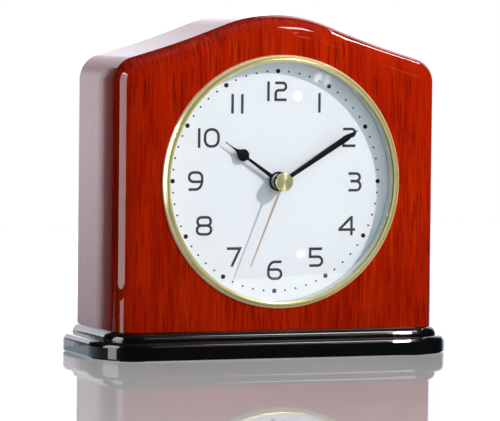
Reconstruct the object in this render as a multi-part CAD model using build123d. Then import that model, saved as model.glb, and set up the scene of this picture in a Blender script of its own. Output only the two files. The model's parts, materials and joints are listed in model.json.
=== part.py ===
from build123d import *
import math
import os

os.makedirs("parts", exist_ok=True)

# ---------------------------------------------------------------------------
# Wooden desk clock.  Millimetres, +Z up, front towards -Y, +X to the right.
# Origin: on the ground, under the middle of the bounding box.
# Depths behind the dial's front face are called d, heights in front of it h.
# ---------------------------------------------------------------------------

# base
BASE_HALF_W = 86.30       # lower slab, half width
BASE_HALF_D = 35.35       # lower slab, half depth
PAD_PROUD = 0.4           # the pads stand this far below the slab
SLAB_TOP = 8.4            # top of the lower slab
WOOD_Z = 12.6             # top of the upper slab, underside of the wood
BASE_R_FRONT = 23.0       # plan corner radius, front
BASE_R_BACK = 13.0        # plan corner radius, back
SLAB_EDGE_R = 2.4         # rounded top edge of the lower slab
STEP_OVER = 3.3           # upper slab beyond the wood
STEP_EDGE_R = 3.6
STEP_R_FRONT, STEP_R_BACK = 14.5, 7.0

# wooden case
CASE_HALF_W = 77.5
FRONT_Y = -28.0
BACK_Y = 32.0
PANEL_T = 12.0            # front panel
WALL = 10.0               # bent wall
FRONT_ROUND = 10.0        # roundover of the front edge
BACK_ROUND = 2.0
CROWN_R = 70.0            # hump
CROWN_A = 21.5            # degrees, where the hump turns into the hollow
HOLLOW_A = 16.2           # degrees, slope where the hollow ends
HOLLOW_R = 415.0
SHOULDER_R = 11.5
APEX_H = 75.3             # apex above the dial centre
BOARD_T = 8.0             # floor board
RABBET = 4.0              # width of the ledge for the back panel
BACK_T = 3.0
BACK_PANEL_Y = 28.5

# dial and bezel
ZC = 79.8                 # height of the dial centre
DIAL_Y = -21.0            # front face of the dial
HOLE_R = 56.8             # hole in the front panel
CUP_R = 56.2
CUP_IN_R = 55.2
CUP_FLOOR_D0, CUP_FLOOR_D1 = 0.8, 2.8
CUP_BORE = 6.0
REHAUT_R = 54.7
BEZEL_R = 57.5
LIP_R = 54.4              # lip of the bezel over the glass
CUP_H = 5.1               # rim of the cup
REHAUT_H = 4.5
SEAT_H = 6.8              # shelf in the bezel that carries seal and glass
GLASS_T = 1.6
DIAL_T = 0.8

# hands, degrees clockwise from twelve
HOUR_DEG, MINUTE_DEG, SECOND_DEG = 304.8, 57.6, 201.8

# movement, depths behind the dial
MV = 28.0                 # half width of the square case
MV_D0, MV_SPLIT, MV_D1 = 2.8, 10.8, 18.8
MV_WALL = 1.2
SECOND_R = 0.45           # second arbor
TUBE_M_IN, TUBE_M_OUT = 0.52, 1.60
TUBE_H_IN, TUBE_H_OUT = 1.68, 2.50
RUN = 0.08                # running clearance on a radius

# wheel train: tooth counts and modules
N_ROTOR, N_INTER = 8, 40
N_INTER_P, N_SECOND = 10, 60
N_SECOND_P, N_THIRD = 8, 60
N_THIRD_P, N_CENTRE = 8, 64
N_CANNON, N_MOTION = 10, 30
N_MOTION_P, N_HOUR = 8, 32
N_SETTING = 10
M_FAST, M_THIRD, M_CENTRE, M_MOTION = 0.175, 0.18, 0.17, 0.45

A_CI = M_FAST * (N_INTER_P + N_SECOND) / 2      # centre to intermediate arbor
A_IR = M_FAST * (N_ROTOR + N_INTER) / 2         # intermediate to rotor
A_CT = M_THIRD * (N_SECOND_P + N_THIRD) / 2     # centre to third arbor
A_CM = M_MOTION * (N_CANNON + N_MOTION) / 2     # centre to motion arbor
A_MS = M_MOTION * (N_SETTING + N_MOTION) / 2    # motion to setting arbor


def polar(r, deg):
    return (r * math.cos(math.radians(deg)), r * math.sin(math.radians(deg)))


# arbor positions in the dial plane, seen from the front: x right, z up
P_C = (0.0, 0.0)
ANG_CI = 50.0
P_I = polar(A_CI, ANG_CI)
P_R = polar(A_CI + A_IR, ANG_CI)
ANG_CT = -20.0
P_T = polar(A_CT, ANG_CT)
ANG_CM = 180.0
P_M = polar(A_CM, ANG_CM)
ANG_MS = 125.0
P_S = (P_M[0] + polar(A_MS, ANG_MS)[0], P_M[1] + polar(A_MS, ANG_MS)[1])
PILLARS = [(-20.0, -7.4), (17.0, -6.0), (-5.0, 10.5), (18.0, 12.0)]

# layers of the train, depths behind the dial
D_PLATE0, D_PLATE1 = 6.8, 7.6
D_BRIDGE0, D_BRIDGE1 = 12.9, 13.7

# battery bay, in the dial plane
BAY_X = 25.6
BAY_Z0, BAY_Z1 = -26.0, -11.6
BAY_D0 = 4.9
CELL_R = 7.1
CELL_Z = (BAY_Z0 + BAY_Z1) / 2
CELL_D = BAY_D0 + CELL_R + 0.1


# ---------------------------------------------------------------------------
# helpers
# ---------------------------------------------------------------------------
def yd(d):
    """World y of a depth d behind the dial's face."""
    return DIAL_Y + d


def upright(y, z=0.0):
    """Plane facing the front: local x is world x, local y is world z."""
    return Plane(origin=(0, y, z), x_dir=(1, 0, 0), z_dir=(0, -1, 0))


def slab(face, y0, y1, z=0.0):
    """Extrude an (x, z) face from y0 (front) to y1 (back)."""
    return extrude(upright(y1, z) * face, amount=y1 - y0)


def dslab(face, d0, d1):
    """The same, given by depths behind the dial, about the dial centre."""
    return slab(face, yd(d0), yd(d1), ZC)


def at(face, p):
    return Pos(p[0], p[1]) * face


def turned(points):
    """Revolve an (r, d) profile about the dial axis."""
    pl = Plane(origin=(0, DIAL_Y, ZC), x_dir=(1, 0, 0), z_dir=(0, 0, 1))
    face = make_face(Polyline(*[(r, d) for r, d in points], close=True))
    return revolve(pl * face, axis=Axis((0, DIAL_Y, ZC), (0, 1, 0)))


def disc(p, r, d0, d1):
    return dslab(at(Circle(r), p), d0, d1)


def ring(p, r0, r1, d0, d1):
    return dslab(at(Circle(r1) - Circle(r0), p), d0, d1)


def box(x0, x1, y0, y1, z0, z1):
    return Pos((x0 + x1) / 2, (y0 + y1) / 2, (z0 + z1) / 2) * Box(x1 - x0, y1 - y0, z1 - z0)


def dbox(x0, x1, z0, z1, d0, d1):
    """Box given in the dial plane (x, z about the dial centre) and by depths."""
    return box(x0, x1, yd(d0), yd(d1), ZC + z0, ZC + z1)


def save(shape, name):
    shape.label = name
    export_step(shape, "parts/" + name + ".step")


def gear_face(n, m, phase, pinion=False):
    """Tooth outline: phase is the angle in degrees of the middle of one tooth."""
    rp = m * n / 2
    ra = rp + 0.85 * m
    rr = rp - 1.05 * m
    tip, root = (0.24, 0.36) if pinion else (0.20, 0.52)
    pts = []
    for k in range(n):
        c = math.radians(phase) + k * 2 * math.pi / n
        for r, s, f in ((rr, -1, root), (rp, -1, 0.42), (ra, -1, tip),
                        (ra, 1, tip), (rp, 1, 0.42), (rr, 1, root)):
            a = c + s * f * math.pi * m / 2 / r
            pts.append((r * math.cos(a), r * math.sin(a)))
    return make_face(Polyline(*pts, close=True))


def mating_phase(line_deg, n_a, phase_a, n_b):
    """Phase of wheel b so that it meshes with wheel a; line runs from a to b."""
    return line_deg + 180 + 180 / n_b + (line_deg - phase_a) * n_a / n_b


def case_outline(t, z_bottom):
    """Front outline of the case moved inwards by t, closed at z_bottom."""
    w = CASE_HALF_W - t
    a1, a2 = math.radians(CROWN_A), math.radians(HOLLOW_A)
    apex = ZC + APEX_H
    n1, n2 = (math.sin(a1), math.cos(a1)), (math.sin(a2), math.cos(a2))
    c1 = (0.0, apex - CROWN_R)
    p0 = (0.0, apex - t)
    p1o = (c1[0] + CROWN_R * n1[0], c1[1] + CROWN_R * n1[1])
    c2 = (p1o[0] + HOLLOW_R * n1[0], p1o[1] + HOLLOW_R * n1[1])
    p1 = (p1o[0] - t * n1[0], p1o[1] - t * n1[1])
    rh = HOLLOW_R + t
    am = (a1 + a2) / 2
    pm = (c2[0] - rh * math.sin(am), c2[1] - rh * math.cos(am))
    p2 = (c2[0] - rh * n2[0], c2[1] - rh * n2[1])
    r3 = max(SHOULDER_R - t, 2.0)
    x3 = w - r3 + r3 * n2[0]
    p3 = (x3, p2[1] - (x3 - p2[0]) * math.tan(a2))
    c3 = (w - r3, p3[1] - r3 * n2[1])
    ac = math.radians((90 + HOLLOW_A) / 2)
    pc = (c3[0] + r3 * math.sin(ac), c3[1] + r3 * math.cos(ac))
    p4 = (w, c3[1])

    def mir(p):
        return (-p[0], p[1])

    edges = [ThreePointArc(mir(p1), p0, p1),
             ThreePointArc(p1, pm, p2), Line(p2, p3),
             ThreePointArc(p3, pc, p4), Line(p4, (w, z_bottom)),
             Line((w, z_bottom), (-w, z_bottom)), Line((-w, z_bottom), mir(p4)),
             ThreePointArc(mir(p4), mir(pc), mir(p3)), Line(mir(p3), mir(p2)),
             ThreePointArc(mir(p2), mir(pm), mir(p1))]
    return make_face(edges)


def screw(length, r, head_r, head_h):
    """Countersunk screw along +Z, its flat head at z = 0."""
    prof = Polyline((0, 0), (head_r, 0), (head_r, 0.3), (r, head_h), (r, length - 2 * r), (0, length), close=True)
    body = revolve(Plane.XZ * make_face(prof), axis=Axis.Z)
    s = head_r * 0.62
    cross = Pos(0, 0, head_h * 0.2) * (Box(2 * s, s * 0.32, head_h * 0.9) + Box(s * 0.32, 2 * s, head_h * 0.9))
    return body - cross


def rounded_plinth(hw, y0, y1, z0, z1, rf, rb, edge_top, edge_bot):
    b = box(-hw, hw, y0, y1, z0, z1)
    vert = b.edges().filter_by(Axis.Z)
    b = fillet(vert.filter_by(lambda e: e.center().Y < 0), rf)
    vert = b.edges().filter_by(Axis.Z).filter_by(lambda e: abs(e.center().Y - y1) < 0.01)
    b = fillet(vert, rb)
    b = fillet(b.faces().sort_by(Axis.Z)[-1].edges(), edge_top)
    if edge_bot:
        b = chamfer(b.faces().sort_by(Axis.Z)[0].edges(), edge_bot)
    return b


# ---------------------------------------------------------------------------
# black base
# ---------------------------------------------------------------------------
PAD_POS = [(-68.0, -20.0), (68.0, -20.0), (-68.0, 22.0), (68.0, 22.0)]
SCREW_POS = [(-52.0, -14.0), (52.0, -14.0), (-52.0, 20.0), (52.0, 20.0)]
PAD_R = 6.0

plinth_base = rounded_plinth(BASE_HALF_W, -BASE_HALF_D, BASE_HALF_D, PAD_PROUD, SLAB_TOP,
                             BASE_R_FRONT, BASE_R_BACK, SLAB_EDGE_R, 0.6)
plinth_step = rounded_plinth(CASE_HALF_W + STEP_OVER, FRONT_Y - STEP_OVER, BACK_Y + 1.4, SLAB_TOP, WOOD_Z,
                             STEP_R_FRONT, STEP_R_BACK, STEP_EDGE_R, 0)
foot_pads = Compound(children=[Pos(x, y, 0.9) * Cylinder(PAD_R, 1.8) for x, y in PAD_POS])
for x, y in PAD_POS:
    plinth_base -= Pos(x, y, PAD_PROUD + (1.8 - PAD_PROUD) / 2) * Cylinder(PAD_R, 1.8 - PAD_PROUD)
SCREW_Z, SCREW_L, SCREW_R, SCREW_HEAD_R, SCREW_HEAD_H = 1.4, 18.0, 1.7, 3.6, 2.4
plinth_screws = Compound(children=[Pos(x, y, SCREW_Z) * screw(SCREW_L, SCREW_R, SCREW_HEAD_R, SCREW_HEAD_H)
                                   for x, y in SCREW_POS])
for x, y in SCREW_POS:
    cone = revolve(Plane.XZ * make_face(Polyline((0, -2), (SCREW_HEAD_R, -2), (SCREW_HEAD_R, 0.3),
                                                 (SCREW_R, SCREW_HEAD_H), (SCREW_R, 30), (0, 30), close=True)), axis=Axis.Z)
    plinth_base -= Pos(x, y, SCREW_Z) * cone
    plinth_step -= Pos(x, y, 10) * Cylinder(SCREW_R, 20)

save(plinth_base, "plinth_base")
save(plinth_step, "plinth_step")
save(foot_pads, "foot_pads")
save(plinth_screws, "plinth_screws")

# ---------------------------------------------------------------------------
# wooden case
# ---------------------------------------------------------------------------
PANEL_BACK = FRONT_Y + PANEL_T
front_panel = slab(case_outline(0, WOOD_Z), FRONT_Y, PANEL_BACK)
rim = front_panel.edges().filter_by(lambda e: abs(e.center().Y - FRONT_Y) < 0.01 and e.center().Z > WOOD_Z + 1)
front_panel = fillet(rim, FRONT_ROUND)
front_panel -= slab(Circle(HOLE_R), FRONT_Y - 1, PANEL_BACK + 1, ZC)
save(front_panel, "front_panel")

case_shell = slab(case_outline(0, WOOD_Z), PANEL_BACK, BACK_Y)
rim = case_shell.edges().filter_by(lambda e: abs(e.center().Y - BACK_Y) < 0.01 and e.center().Z > WOOD_Z + 1)
case_shell = fillet(rim, BACK_ROUND)
case_shell -= slab(case_outline(WALL, WOOD_Z - 5), PANEL_BACK - 1, BACK_Y + 1)
case_shell -= slab(case_outline(WALL - RABBET, WOOD_Z - 5), BACK_PANEL_Y, BACK_Y + 1)
LEDGE = CASE_HALF_W - WALL + RABBET / 2          # middle of the ledge
BACK_SCREWS = [(-LEDGE, 42.0), (LEDGE, 42.0), (-LEDGE, 96.0), (LEDGE, 96.0), (0.0, ZC + APEX_H - WALL + RABBET / 2)]
BOARD_SCREWS = [(-44.0, WOOD_Z + BOARD_T / 2), (44.0, WOOD_Z + BOARD_T / 2)]
BS_R, BS_HEAD, BS_HEAD_H, BS_LEN = 1.0, 1.9, 1.2, 11.0
for x, z in BACK_SCREWS:
    case_shell -= slab(at(Circle(BS_R), (x, z)), BACK_PANEL_Y - 9.5, BACK_PANEL_Y + 1)
save(case_shell, "case_shell")

INNER = CASE_HALF_W - WALL
floor_board = box(-INNER, INNER, PANEL_BACK, BACK_PANEL_Y, WOOD_Z, WOOD_Z + BOARD_T)
for x, y in SCREW_POS:
    floor_board -= Pos(x, y, WOOD_Z) * Cylinder(SCREW_R, 2 * (SCREW_Z + SCREW_L - WOOD_Z))
for x, z in BOARD_SCREWS:
    floor_board -= slab(at(Circle(BS_R), (x, z)), BACK_PANEL_Y - 9.5, BACK_PANEL_Y + 1)
save(floor_board, "floor_board")

# glue blocks: two along the floor, two upright behind the front panel
BLOCK = 9.0
ZB = WOOD_Z + BOARD_T
left = make_face(Polyline((-INNER, ZB), (-INNER + BLOCK, ZB), (-INNER, ZB + BLOCK), close=True))
right = make_face(Polyline((INNER, ZB), (INNER - BLOCK, ZB), (INNER, ZB + BLOCK), close=True))
corner_blocks = Compound(children=[
    slab(left, PANEL_BACK, 20.0), slab(right, PANEL_BACK, 20.0),
    box(-INNER, -INNER + 7.5, PANEL_BACK, PANEL_BACK + 8, 44.0, 112.0),
    box(INNER - 7.5, INNER, PANEL_BACK, PANEL_BACK + 8, 44.0, 112.0)])
save(corner_blocks, "corner_blocks")

ACCESS_W, ACCESS_H, ACCESS_R = 92.0, 84.0, 8.0
back_panel = slab(case_outline(WALL - RABBET + 0.25, WOOD_Z + 0.3), BACK_PANEL_Y, BACK_PANEL_Y + BACK_T)
back_panel -= slab(RectangleRounded(ACCESS_W, ACCESS_H, ACCESS_R), BACK_PANEL_Y - 1, BACK_PANEL_Y + BACK_T + 1, ZC)
BS_Y = BACK_PANEL_Y + BACK_T
bs = []
for x, z in BACK_SCREWS + BOARD_SCREWS:
    turn = Pos(x, BS_Y, z) * Rot(90, 0, 0)
    bs.append(turn * screw(BS_LEN, BS_R, BS_HEAD, BS_HEAD_H))
    cone = revolve(Plane.XZ * make_face(Polyline((0, -1), (BS_HEAD, -1), (BS_HEAD, 0.3), (BS_R, BS_HEAD_H),
                                                 (BS_R, 6), (0, 6), close=True)), axis=Axis.Z)
    back_panel -= turn * cone
back_panel_screws = Compound(children=bs)
save(back_panel, "back_panel")
save(back_panel_screws, "back_panel_screws")

# ---------------------------------------------------------------------------
# dial insert: cup, dial, rehaut, glass, bezel
# ---------------------------------------------------------------------------
POSTS = [(-31.5, 0.0), (31.5, 0.0)]
insert_housing = turned([(CUP_BORE, CUP_FLOOR_D0), (CUP_IN_R, CUP_FLOOR_D0), (CUP_IN_R, -CUP_H), (CUP_R, -CUP_H),
                         (CUP_R, CUP_FLOOR_D1), (CUP_BORE, CUP_FLOOR_D1)])
for p in POSTS:
    insert_housing += disc(p, 3.2, CUP_FLOOR_D1 - 0.5, 6.8)
for p in POSTS:
    insert_housing -= disc(p, 0.9, 1.4, 7.0)
save(insert_housing, "insert_housing")

grip_ring = ring(P_C, CUP_R, HOLE_R, -1.8, 2.2)
save(grip_ring, "grip_ring")

dial_plate = ring(P_C, 3.4, CUP_IN_R - 0.1, 0.0, DIAL_T)
save(dial_plate, "dial_plate")

rehaut_ring = ring(P_C, REHAUT_R, CUP_IN_R, -REHAUT_H, 0.0)
save(rehaut_ring, "rehaut_ring")

pl = Plane(origin=(0, DIAL_Y, ZC), x_dir=(1, 0, 0), z_dir=(0, 0, 1))
ax = Axis((0, DIAL_Y, ZC), (0, 1, 0))
LIP_H = SEAT_H + 0.4 + GLASS_T + 0.06
prof = [Line((REHAUT_R, -REHAUT_H), (CUP_IN_R, -REHAUT_H)), Line((CUP_IN_R, -REHAUT_H), (CUP_IN_R, -CUP_H)),
        Line((CUP_IN_R, -CUP_H), (CUP_R, -CUP_H)), Line((CUP_R, -CUP_H), (CUP_R, -2.0)), Line((CUP_R, -2.0), (56.75, -2.0)),
        Line((56.75, -2.0), (56.75, -7.0)), Line((56.75, -7.0), (BEZEL_R, -7.0)), Line((BEZEL_R, -7.0), (BEZEL_R, -7.15)),
        ThreePointArc((BEZEL_R, -7.15), (57.1, -8.3), (56.42, -8.98)),          # outer bead
        Line((56.42, -8.98), (56.32, -9.18)),                                   # step between the beads
        ThreePointArc((56.32, -9.18), (55.45, -9.78), (LIP_R, -9.4)),           # inner bead
        Line((LIP_R, -9.4), (LIP_R, -LIP_H)), Line((LIP_R, -LIP_H), (56.0, -LIP_H)),
        Line((56.0, -LIP_H), (56.0, -SEAT_H)), Line((56.0, -SEAT_H), (REHAUT_R, -SEAT_H)),
        Line((REHAUT_R, -SEAT_H), (REHAUT_R, -REHAUT_H))]
bezel = revolve(pl * make_face(prof), axis=ax)
save(bezel, "bezel")

lens_gasket = ring(P_C, 55.0, 56.0, -SEAT_H - 0.4, -SEAT_H)
save(lens_gasket, "lens_gasket")

GL_R, GL_FLAT, SAG = 55.95, 54.6, 4.8
GL_H0, GL_H1 = SEAT_H + 0.4, SEAT_H + 0.4 + GLASS_T      # inner and outer face at the glass's edge
DOME_R = (GL_FLAT ** 2 + SAG ** 2) / (2 * SAG)
DOME_A = math.asin(GL_FLAT / DOME_R) / 2
MID_X, MID_H = DOME_R * math.sin(DOME_A), SAG - DOME_R * (1 - math.cos(DOME_A))
prof = [Line((0, -GL_H0 - SAG), (0, -GL_H1 - SAG)),
        ThreePointArc((0, -GL_H1 - SAG), (MID_X, -GL_H1 - MID_H), (GL_FLAT, -GL_H1)),
        Line((GL_FLAT, -GL_H1), (GL_R, -GL_H1)), Line((GL_R, -GL_H1), (GL_R, -GL_H0)), Line((GL_R, -GL_H0), (GL_FLAT, -GL_H0)),
        ThreePointArc((GL_FLAT, -GL_H0), (MID_X, -GL_H0 - MID_H), (0, -GL_H0 - SAG))]
lens_glass = revolve(pl * make_face(prof), axis=ax)
save(lens_glass, "lens_glass")


# ---------------------------------------------------------------------------
# hands
# ---------------------------------------------------------------------------
def hand(face, deg, h0, h1):
    """Place a hand drawn along +Y of its sketch, pointing deg clockwise from twelve."""
    return dslab(Rot(0, 0, -deg) * face, -h1, -h0)


def poly(*pts):
    return make_face(Polyline(*pts, close=True))


hour_face = (Circle(4.5) + poly((-0.95, 3.5), (0.95, 3.5), (0.55, 18.9), (-0.55, 18.9)) + Pos(0, 21) * Circle(2.8)
             + poly((-1.75, 22.6), (1.75, 22.6), (0.75, 26.2), (0.12, 31.5), (-0.12, 31.5), (-0.75, 26.2)))
hour_hand = hand(hour_face - Circle(TUBE_H_OUT), HOUR_DEG, 3.0, 3.4)
save(hour_hand, "hour_hand")
hour_collet = ring(P_C, TUBE_H_OUT, 3.6, -3.0, -1.0)
save(hour_collet, "hour_collet")

minute_face = Circle(4.2) + poly((-1.1, 3.4), (1.1, 3.4), (1.5, 38.6), (0.12, 43.4), (-0.12, 43.4), (-1.5, 38.6))
minute_hand = hand(minute_face - Circle(TUBE_M_OUT), MINUTE_DEG, 7.4, 7.9)
save(minute_hand, "minute_hand")
minute_collet = ring(P_C, TUBE_M_OUT, 3.0, -7.4, -3.7)
save(minute_collet, "minute_collet")

second_face = Circle(1.7) + poly((-0.6, 1.2), (0.6, 1.2), (0.25, 41.2), (-0.25, 41.2))
second_hand = hand(second_face - Circle(SECOND_R), SECOND_DEG, 8.6, 8.9)
save(second_hand, "second_hand")
second_hand_cap = disc(P_C, 1.4, -9.5, -8.9) + disc(P_C, 4.1, -10.8, -9.4)
cap_rim = second_hand_cap.edges().filter_by(GeomType.CIRCLE).filter_by(
    lambda e: abs(e.center().Y - yd(-10.8)) < 0.01)
second_hand_cap = fillet(cap_rim, 0.35)
second_hand_cap -= disc(P_C, SECOND_R, -10.0, -8.0)
save(second_hand_cap, "second_hand_cap")

# ---------------------------------------------------------------------------
# movement case
# ---------------------------------------------------------------------------
sq = RectangleRounded(2 * MV, 2 * MV, 3.0)
sq_in = RectangleRounded(2 * (MV - MV_WALL), 2 * (MV - MV_WALL), 1.8)
fc = dslab(sq, MV_D0, MV_SPLIT) - dslab(sq_in, MV_D0 + MV_WALL, MV_SPLIT + 1)
fc += disc(P_C, 5.9, 0.9, MV_D0 + 0.2)
for sx in (-1, 1):                                    # ears for the movement screws
    fc += dslab(at(Rectangle(8.0, 8.0), (sx * 31.0, 0)), 6.8, 8.4)
for p in PILLARS:
    fc += disc(p, 1.7, MV_D0 + MV_WALL - 0.2, D_PLATE0)
BOARD_POSTS = [(-23.4, 24.0), (-14.6, 24.0)]
for p in BOARD_POSTS:
    fc += disc(p, 1.3, MV_D0 + MV_WALL - 0.2, 9.0)
fc += disc(P_M, 1.3, MV_D0 + MV_WALL - 0.2, MV_D0 + MV_WALL + 0.15)
fc -= disc(P_C, TUBE_H_OUT + RUN, 0.0, 5.0)
for p in POSTS:
    fc -= disc(p, 1.1, 6.0, 9.0)
for p in PILLARS:
    fc -= disc(p, 0.8, 4.6, D_PLATE0 + 0.1)
fc -= disc(P_M, 0.40, 3.1, 5.0)
fc -= disc(P_S, 0.55, 3.1, 5.0)
movement_front_case = fc
save(movement_front_case, "movement_front_case")

rc = dslab(sq, MV_SPLIT, MV_D1) - dslab(sq_in, MV_SPLIT - 1, MV_D1 - MV_WALL)
rc += dslab(at(RectangleRounded(53.2, 15.9, 1.8), (0, -18.75)), 4.1, MV_D1 - 0.1)
rc -= dbox(-BAY_X, BAY_X, BAY_Z0, BAY_Z1, BAY_D0, MV_D1 + 1)
rc -= dbox(25.3, BAY_X, -12.0, -10.0, 11.0, 13.0)      # slots for the contact tails
rc -= dbox(-BAY_X, -25.3, -12.0, -10.0, 11.0, 13.0)
rc -= disc(P_S, 1.2 + RUN, MV_SPLIT, MV_D1 + 1)
movement_rear_cover = rc
save(movement_rear_cover, "movement_rear_cover")

ms = []
for p in POSTS:
    s = disc(p, 2.1, 8.4, 9.6) + disc(p, 0.9, 1.9, 8.5)
    s -= dslab(at(Rectangle(3.0, 0.5), p), 9.1, 9.8) + dslab(at(Rectangle(0.5, 3.0), p), 9.1, 9.8)
    ms.append(s)
movement_screws = Compound(children=ms)
save(movement_screws, "movement_screws")

# plates that carry the train
plate_face = RectangleRounded(44.0, 26.4, 2.0)
plate_face = Pos(-1.0, 3.4) * plate_face                # x -23..21, z -9.8..16.6
tp = dslab(plate_face, D_PLATE0, D_PLATE1)
br = dslab(plate_face, D_BRIDGE0, D_BRIDGE1)
for p in PILLARS:
    tp -= disc(p, 0.8, D_PLATE0 - 1, D_PLATE1 + 1)
    br -= disc(p, 0.8, D_BRIDGE0 - 1, D_BRIDGE1 + 1)
tp -= disc(P_C, TUBE_M_OUT + RUN, D_PLATE0 - 1, D_PLATE1 + 1)
tp -= disc(P_M, 0.40, D_PLATE0 - 1, D_PLATE1 + 1)
for p in (P_T, P_I, P_R):
    tp -= disc(p, 0.30, D_PLATE0 - 1, D_PLATE1 + 1)
    br -= disc(p, 0.30, D_BRIDGE0 - 1, D_BRIDGE1 + 1)
br -= disc(P_C, 0.30, D_BRIDGE0 - 1, D_BRIDGE1 + 1)
tp -= disc(P_S, 1.2 + RUN, D_PLATE0 - 1, D_PLATE1 + 1)
br -= disc(P_S, 1.2 + RUN, D_BRIDGE0 - 1, D_BRIDGE1 + 1)
save(tp, "train_plate")
save(br, "train_bridge")
train_pillars = Compound(children=[
    disc(p, 1.6, D_PLATE1, D_BRIDGE0) + disc(p, 0.8, 4.8, D_PLATE1 + 0.1) + disc(p, 0.8, D_BRIDGE0 - 0.1, D_BRIDGE1)
    for p in PILLARS])
save(train_pillars, "train_pillars")

# ---------------------------------------------------------------------------
# wheel train
# ---------------------------------------------------------------------------
PIV = 0.25


def wheel(p, n, m, phase, d0, d1, pinion=False):
    return dslab(at(gear_face(n, m, phase, pinion), p), d0, d1)


# seconds arbor: wheel, pinion, long arbor to the front
sw = wheel(P_C, N_SECOND, M_FAST, 0.0, 10.4, 10.9)
for k in range(5):
    sw -= disc(polar(3.6, 72 * k), 1.2, 10, 11.5)
seconds_wheel = (sw + wheel(P_C, N_SECOND_P, M_THIRD, 0.0, 9.1, 10.4, True)
                 + disc(P_C, SECOND_R, -9.9, D_BRIDGE0 - 0.05) + disc(P_C, PIV, 12.0, D_BRIDGE1))
save(seconds_wheel, "seconds_wheel")

# intermediate arbor
ph = mating_phase(ANG_CI, N_SECOND, 0.0, N_INTER_P)
intermediate_wheel = (wheel(P_I, N_INTER_P, M_FAST, ph, 10.2, 11.5, True) + wheel(P_I, N_INTER, M_FAST, 0.0, 11.5, 12.0)
                      + disc(P_I, 0.4, D_PLATE1 + 0.05, D_BRIDGE0 - 0.05) + disc(P_I, PIV, D_PLATE0, D_BRIDGE1))
save(intermediate_wheel, "intermediate_wheel")

# rotor: magnet, pinion, arbor
ph = mating_phase(ANG_CI, N_INTER, 0.0, N_ROTOR)
rotor = (wheel(P_R, N_ROTOR, M_FAST, ph, 11.2, 12.3, True) + disc(P_R, 2.5, 8.4, 10.1)
         + disc(P_R, 0.4, D_PLATE1 + 0.05, D_BRIDGE0 - 0.05) + disc(P_R, PIV, D_PLATE0, D_BRIDGE1))
save(rotor, "rotor")

# third arbor
ph = mating_phase(ANG_CT, N_SECOND_P, 0.0, N_THIRD)
third_wheel = (wheel(P_T, N_THIRD, M_THIRD, ph, 9.3, 9.8) + wheel(P_T, N_THIRD_P, M_CENTRE, 0.0, 7.9, 9.3, True)
               + disc(P_T, 0.35, D_PLATE1 + 0.05, D_BRIDGE0 - 0.05) + disc(P_T, PIV, D_PLATE0, D_BRIDGE1))
save(third_wheel, "third_wheel")

# centre wheel, held by friction on the minute arbor
ph = mating_phase(ANG_CT + 180, N_THIRD_P, 0.0, N_CENTRE)
centre_wheel = wheel(P_C, N_CENTRE, M_CENTRE, ph, 8.1, 8.7) - disc(P_C, TUBE_M_OUT, 7, 10)
save(centre_wheel, "centre_wheel")
clutch_face = Circle(2.4) + Rectangle(7.4, 1.2) + Rectangle(1.2, 7.4) - Circle(TUBE_M_OUT)
clutch_spring = dslab(clutch_face, 7.85, 8.1)
save(clutch_spring, "clutch_spring")
minute_arbor = (ring(P_C, TUBE_M_IN, TUBE_M_OUT, -7.9, 8.9)
                + (wheel(P_C, N_CANNON, M_MOTION, 0.0, 5.4, 6.4, True) - disc(P_C, TUBE_M_OUT - 0.2, 5, 7)))
save(minute_arbor, "minute_arbor")

# motion wheel and pinion
ph = mating_phase(ANG_CM, N_CANNON, 0.0, N_MOTION)
motion_wheel = (wheel(P_M, N_MOTION, M_MOTION, ph, 5.5, 6.3) + wheel(P_M, N_MOTION_P, M_MOTION, 0.0, 4.25, 5.5, True)
                + disc(P_M, 0.6, 4.2, D_PLATE0 - 0.05) + disc(P_M, 0.35, 3.2, D_PLATE1))
save(motion_wheel, "motion_wheel")

# hour wheel with its tube
ph_h = mating_phase(ANG_CM + 180, N_MOTION_P, 0.0, N_HOUR)
hour_wheel = (wheel(P_C, N_HOUR, M_MOTION, ph_h, 4.3, 5.1) + disc(P_C, TUBE_H_OUT, -3.4, 4.4)) - disc(P_C, TUBE_H_IN, -5, 6)
save(hour_wheel, "hour_wheel")

# setting arbor: pinion in mesh with the motion wheel, knob at the back
ph_s = mating_phase(ANG_MS, N_MOTION, ph, N_SETTING)
KNOB_R, KNOB_D0, KNOB_D1 = 5.0, MV_D1 + 0.4, MV_D1 + 4.6
knob = disc(P_S, KNOB_R, KNOB_D0, KNOB_D1)
rim = knob.edges().filter_by(GeomType.CIRCLE).filter_by(lambda e: abs(e.center().Y - yd(KNOB_D1)) < 0.01)
knob = fillet(rim, 0.5)
for k in range(18):
    q = polar(KNOB_R + 0.15, 20 * k)
    knob -= disc((P_S[0] + q[0], P_S[1] + q[1]), 0.42, KNOB_D0 - 1, KNOB_D1 + 1)
setting_knob = (wheel(P_S, N_SETTING, M_MOTION, ph_s, 5.4, 6.4, True) + disc(P_S, 1.2, 4.2, KNOB_D0 + 0.1)
                + disc(P_S, 0.5, 3.2, 4.3) + knob)
save(setting_knob, "setting_knob")

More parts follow.
